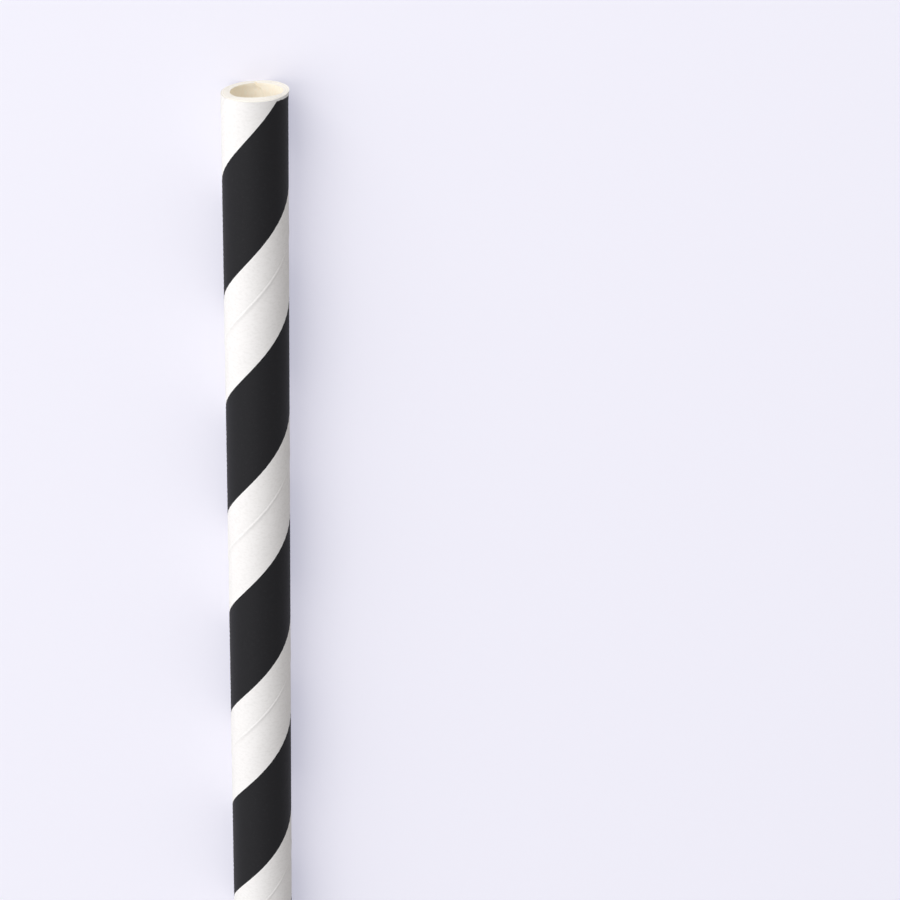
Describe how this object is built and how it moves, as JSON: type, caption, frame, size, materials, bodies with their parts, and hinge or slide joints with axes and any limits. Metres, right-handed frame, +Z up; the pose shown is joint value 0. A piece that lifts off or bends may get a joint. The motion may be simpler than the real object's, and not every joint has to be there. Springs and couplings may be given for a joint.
{
  "type": "paper drinking straw",
  "caption": "Straight, spirally wound paper drinking straw with a printed black and white stripe, open at both ends.",
  "frame": {"origin": "centre of the straw's length, on the surface that it lies on", "axes": "+X along the straw to its mouth, the end that the picture shows; +Z up, square to the surface that it lies on"},
  "size_m": [0.197, 0.006, 0.0059],
  "materials": {
    "paper": "matt white paper with a wound stripe of matt black print, cream inside the bore and on the cut ends"
  },
  "bodies": {
    "root": {"straw_tube": "paper"}
  },
  "joints": []
}
